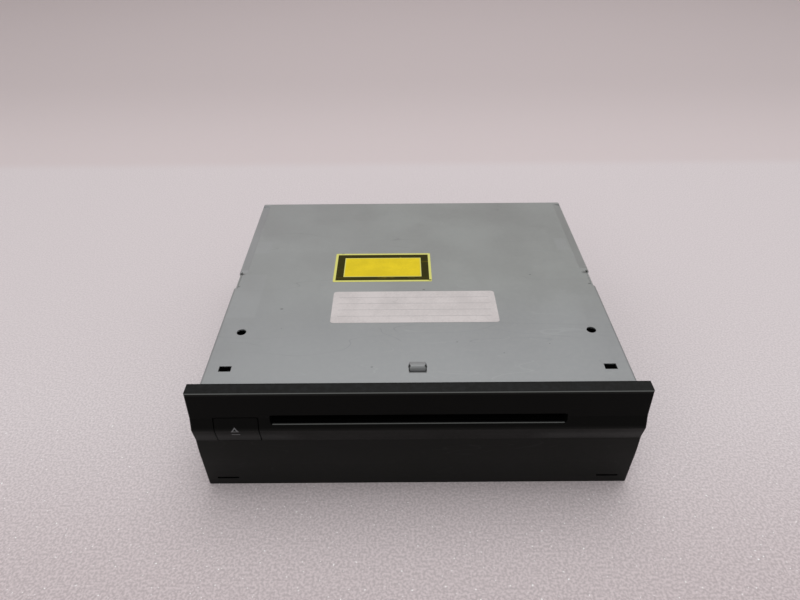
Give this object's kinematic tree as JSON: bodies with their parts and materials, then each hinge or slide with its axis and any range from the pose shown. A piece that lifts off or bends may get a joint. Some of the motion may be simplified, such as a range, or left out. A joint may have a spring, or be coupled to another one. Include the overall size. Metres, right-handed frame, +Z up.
{
  "type": "car navigation disc drive",
  "caption": "Slot-loading disc drive of one DIN height: folded steel case, moulded face with a disc slot and eject button, and a sprung loader inside.",
  "frame": {"origin": "Middle of the footprint, on the ground under the face and the rear feet.", "axes": "X to the right seen from the front, Y to the back, Z up."},
  "size_m": [0.1896, 0.169, 0.0573],
  "materials": {
    "zinc_sheet": "zinc-coated sheet, dull, with faint spangle and scratches",
    "black_plastic": "fine moulded texture",
    "felt": "short black pile",
    "symbol_print": "pale moulded insert",
    "spring_steel": "drawn wire",
    "plunger_plastic": "moulded",
    "circuit_board": "green solder resist",
    "chip_resin": "moulded resin",
    "capacitor_can": "bare can",
    "cream_plastic": "moulded nylon",
    "gold_pins": "gold flash",
    "screw_zinc": "bright zinc",
    "cable_film": "polyester film over flat conductors",
    "yellow_paper": "printed paper label",
    "white_paper": "printed paper label",
    "damper_rubber": "soft moulded rubber",
    "roller_rubber": "ground rubber",
    "gear_resin": "natural acetal",
    "guide_resin": "slippery moulded resin",
    "bright_steel": "ground rod",
    "motor_can": "plated can",
    "cast_metal": "die-cast",
    "lens_glass": "clear, coated"
  },
  "bodies": {
    "case": {"top_cover": "zinc_sheet", "chassis_pan": "zinc_sheet", "rear_panel": "zinc_sheet", "loader_deck": "zinc_sheet", "upper_plate": "zinc_sheet", "faceplate": "black_plastic", "rear_connector": "black_plastic", "aerial_socket": "black_plastic", "tact_switch": "black_plastic", "detector_switches": "black_plastic", "dust_felts": "felt", "button_spring": "spring_steel", "torsion_springs": "spring_steel", "suspension_springs": "spring_steel", "main_board": "circuit_board", "button_board": "circuit_board", "chips": "chip_resin", "capacitors": "capacitor_can", "board_connectors": "cream_plastic", "socket_pins": "gold_pins", "machine_screws": "screw_zinc", "mechanism_screws": "screw_zinc", "damper_screws": "screw_zinc", "deck_studs": "screw_zinc", "damper_posts": "screw_zinc", "board_standoffs": "screw_zinc", "flat_cable": "cable_film", "yellow_label": "yellow_paper", "white_label": "white_paper", "dampers": "damper_rubber", "disc_guide": "guide_resin", "clamp_arm_pin": "bright_steel", "guide_rods": "bright_steel", "loading_motor": "motor_can", "sled_motor": "motor_can", "spindle_motor": "motor_can", "traverse_chassis": "cast_metal"},
    "eject_button": {"eject_button": "black_plastic", "button_symbol": "symbol_print"},
    "switch_plunger": {"switch_plunger": "plunger_plastic"},
    "roller_arm": {"roller_arm": "zinc_sheet", "roller_bushings": "guide_resin"},
    "feed_roller": {"feed_roller": "roller_rubber", "roller_shaft": "bright_steel", "roller_gear": "gear_resin"},
    "idler_gear": {"idler_gear": "gear_resin"},
    "reduction_gear": {"reduction_gear": "gear_resin"},
    "worm_wheel": {"worm_wheel": "gear_resin"},
    "motor_worm": {"motor_worm": "gear_resin"},
    "cam_slider": {"cam_slider": "black_plastic"},
    "clamp_arm": {"clamp_arm": "zinc_sheet"},
    "clamper": {"clamper": "guide_resin"},
    "turntable": {"turntable": "black_plastic", "spindle_rotor": "motor_can"},
    "pickup_sled": {"pickup_sled": "cast_metal"},
    "lens": {"lens_holder": "guide_resin", "objective_lens": "lens_glass"},
    "lead_screw": {"lead_screw": "bright_steel"},
    "left_disc_lever": {"left_disc_lever": "guide_resin"},
    "right_disc_lever": {"right_disc_lever": "guide_resin"}
  },
  "joints": [
    {"name": "button_press", "type": "slide", "parent": "case", "child": "eject_button", "axis": [0, 1, 0], "range_m": [0, 0.001], "stiffness_N_per_m": 400, "springref_m": -0.001},
    {"name": "plunger_press", "type": "slide", "parent": "case", "child": "switch_plunger", "axis": [0, 1, 0], "range_m": [0, 0.0003]},
    {"name": "slider_travel", "type": "slide", "parent": "case", "child": "cam_slider", "axis": [0, 1, 0], "range_m": [0, 0.012]},
    {"name": "roller_arm_swing", "type": "hinge", "parent": "case", "child": "roller_arm", "pos_m": [0, -0.0429, 0.0391], "axis": [1, 0, 0], "range_deg": [0, 13.3]},
    {"name": "clamp_arm_swing", "type": "hinge", "parent": "case", "child": "clamp_arm", "pos_m": [0, 0.0681, 0.0515], "axis": [1, 0, 0], "range_deg": [0, 6]},
    {"name": "clamper_spin", "type": "hinge", "parent": "clamp_arm", "child": "clamper", "pos_m": [0, 0.00529, 0.04704], "axis": [0, 0.1045, 0.9945], "continuous": true},
    {"name": "turntable_spin", "type": "hinge", "parent": "case", "child": "turntable", "pos_m": [0, 0.0061, 0.0392], "axis": [0, 0, 1], "continuous": true},
    {"name": "worm_spin", "type": "hinge", "parent": "case", "child": "motor_worm", "pos_m": [-0.0759, -0.0369, 0.02973], "axis": [0, 1, 0], "continuous": true},
    {"name": "worm_wheel_spin", "type": "hinge", "parent": "case", "child": "worm_wheel", "pos_m": [-0.074, -0.04647, 0.04158], "axis": [1, 0, 0], "continuous": true},
    {"name": "reduction_gear_spin", "type": "hinge", "parent": "case", "child": "reduction_gear", "pos_m": [-0.072, -0.05586, 0.045], "axis": [1, 0, 0], "continuous": true},
    {"name": "idler_gear_spin", "type": "hinge", "parent": "case", "child": "idler_gear", "pos_m": [-0.0705, -0.0629, 0.0476], "axis": [1, 0, 0], "continuous": true},
    {"name": "feed_roller_spin", "type": "hinge", "parent": "roller_arm", "child": "feed_roller", "pos_m": [0, -0.0629, 0.0391], "axis": [1, 0, 0], "continuous": true},
    {"name": "sled_travel", "type": "slide", "parent": "case", "child": "pickup_sled", "axis": [0, 1, 0], "range_m": [0, 0.0345]},
    {"name": "lead_screw_turn", "type": "hinge", "parent": "case", "child": "lead_screw", "pos_m": [0.03, 0.0441, 0.0352], "axis": [0, 1, 0], "range_deg": [0, 4150]},
    {"name": "lens_focus", "type": "slide", "parent": "pickup_sled", "child": "lens", "axis": [0, 0, 1], "range_m": [-0.0003, 0.0004], "stiffness_N_per_m": 20},
    {"name": "left_lever_swing", "type": "hinge", "parent": "case", "child": "left_disc_lever", "pos_m": [-0.052, -0.0519, 0.05], "axis": [0, 0, -1], "range_deg": [0, 36], "stiffness_Nm_per_rad": 0.0005, "springref_deg": -17.19},
    {"name": "right_lever_swing", "type": "hinge", "parent": "case", "child": "right_disc_lever", "pos_m": [0.052, -0.0519, 0.05], "axis": [0, 0, 1], "range_deg": [0, 36], "stiffness_Nm_per_rad": 0.0005, "springref_deg": -17.19}
  ],
  "couplings": [
    {"joint": "plunger_press", "follows": "button_press", "ratio": 0.25},
    {"joint": "roller_arm_swing", "follows": "slider_travel", "rad_per_m": 19.33},
    {"joint": "clamp_arm_swing", "follows": "slider_travel", "rad_per_m": 8.72},
    {"joint": "clamper_spin", "follows": "turntable_spin", "ratio": 1},
    {"joint": "worm_wheel_spin", "follows": "worm_spin", "ratio": 0.03125},
    {"joint": "reduction_gear_spin", "follows": "worm_spin", "ratio": -0.013393},
    {"joint": "idler_gear_spin", "follows": "worm_spin", "ratio": 0.0089286},
    {"joint": "feed_roller_spin", "follows": "worm_spin", "ratio": -0.010045},
    {"joint": "lead_screw_turn", "follows": "sled_travel", "rad_per_m": 2094.4}
  ]
}
